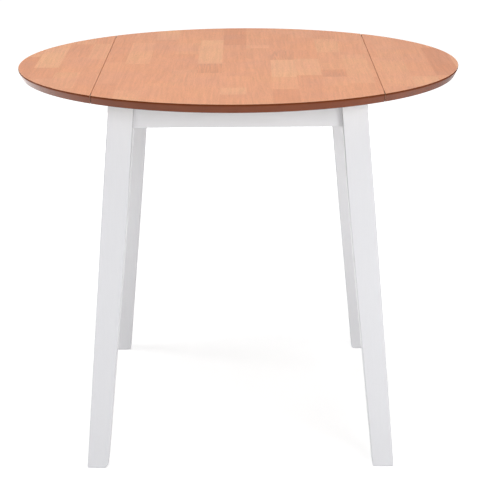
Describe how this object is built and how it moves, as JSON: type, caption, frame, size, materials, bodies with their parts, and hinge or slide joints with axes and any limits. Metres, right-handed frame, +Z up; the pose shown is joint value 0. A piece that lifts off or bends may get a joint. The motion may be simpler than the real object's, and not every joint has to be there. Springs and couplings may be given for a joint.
{
  "type": "round drop-leaf table",
  "caption": "Round laminated-wood table with hinged drop leaves, slotted steel leaf stays and splayed, tapered white legs under a white apron frame.",
  "frame": {"origin": "centre of the table's footprint on the floor", "axes": "+Z up through the middle of the top; +Y along the leaf seams, away from the front; +X towards the right leaf"},
  "size_m": [0.9142, 0.9142, 0.754],
  "materials": {
    "laminated_wood": "warm reddish edge-glued staves under satin lacquer",
    "white_painted_wood": "smooth satin white paint on wood",
    "bare_wood": "unfinished sawn hardwood",
    "zinc_plated_steel": "bright zinc plating",
    "brass_plated_steel": "dull brass plating on steel hinges",
    "glide_plastic": "moulded nail-on plastic glide"
  },
  "bodies": {
    "frame": {"top_centre": "laminated_wood", "apron_front": "white_painted_wood", "apron_back": "white_painted_wood", "apron_left": "white_painted_wood", "apron_right": "white_painted_wood", "leg_front_left": "white_painted_wood", "leg_front_right": "white_painted_wood", "leg_back_left": "white_painted_wood", "leg_back_right": "white_painted_wood", "corner_block_front_left": "bare_wood", "corner_block_front_right": "bare_wood", "corner_block_back_left": "bare_wood", "corner_block_back_right": "bare_wood", "hanger_bolts": "zinc_plated_steel", "hanger_washers": "zinc_plated_steel", "hanger_nuts": "zinc_plated_steel", "corner_block_screws": "zinc_plated_steel", "top_angles": "zinc_plated_steel", "top_angle_screws": "zinc_plated_steel", "foot_glides": "glide_plastic", "hinge_top_plates_left": "brass_plated_steel", "hinge_pins_left": "brass_plated_steel", "hinge_top_screws_left": "brass_plated_steel", "stay_apron_bracket_left": "zinc_plated_steel", "stay_stud_left": "zinc_plated_steel", "stay_apron_screws_left": "zinc_plated_steel", "hinge_top_plates_right": "brass_plated_steel", "hinge_pins_right": "brass_plated_steel", "hinge_top_screws_right": "brass_plated_steel", "stay_apron_bracket_right": "zinc_plated_steel", "stay_stud_right": "zinc_plated_steel", "stay_apron_screws_right": "zinc_plated_steel"},
    "leaf_left": {"leaf_left": "laminated_wood", "hinge_leaf_plates_left": "brass_plated_steel", "hinge_leaf_screws_left": "brass_plated_steel", "stay_leaf_bracket_left": "zinc_plated_steel", "stay_pivot_left": "zinc_plated_steel", "stay_leaf_screws_left": "zinc_plated_steel"},
    "leaf_right": {"leaf_right": "laminated_wood", "hinge_leaf_plates_right": "brass_plated_steel", "hinge_leaf_screws_right": "brass_plated_steel", "stay_leaf_bracket_right": "zinc_plated_steel", "stay_pivot_right": "zinc_plated_steel", "stay_leaf_screws_right": "zinc_plated_steel"},
    "stay_left": {"stay_arm_left": "zinc_plated_steel"},
    "stay_right": {"stay_arm_right": "zinc_plated_steel"}
  },
  "joints": [
    {"name": "leaf_left_drop", "type": "hinge", "parent": "frame", "child": "leaf_left", "pos_m": [-0.2795, 0, 0.733], "axis": [0, -1, 0], "range_deg": [0, 90]},
    {"name": "stay_left_swing", "type": "hinge", "parent": "leaf_left", "child": "stay_left", "pos_m": [-0.37137, 0, 0.724], "axis": [0, -1, 0], "range_deg": [-45, 0]},
    {"name": "leaf_right_drop", "type": "hinge", "parent": "frame", "child": "leaf_right", "pos_m": [0.2795, 0, 0.733], "axis": [0, 1, 0], "range_deg": [0, 90]},
    {"name": "stay_right_swing", "type": "hinge", "parent": "leaf_right", "child": "stay_right", "pos_m": [0.37137, 0, 0.724], "axis": [0, 1, 0], "range_deg": [-45, 0]}
  ],
  "couplings": [
    {"joint": "stay_left_swing", "follows": "leaf_left_drop", "ratio": -0.5},
    {"joint": "stay_right_swing", "follows": "leaf_right_drop", "ratio": -0.5}
  ]
}
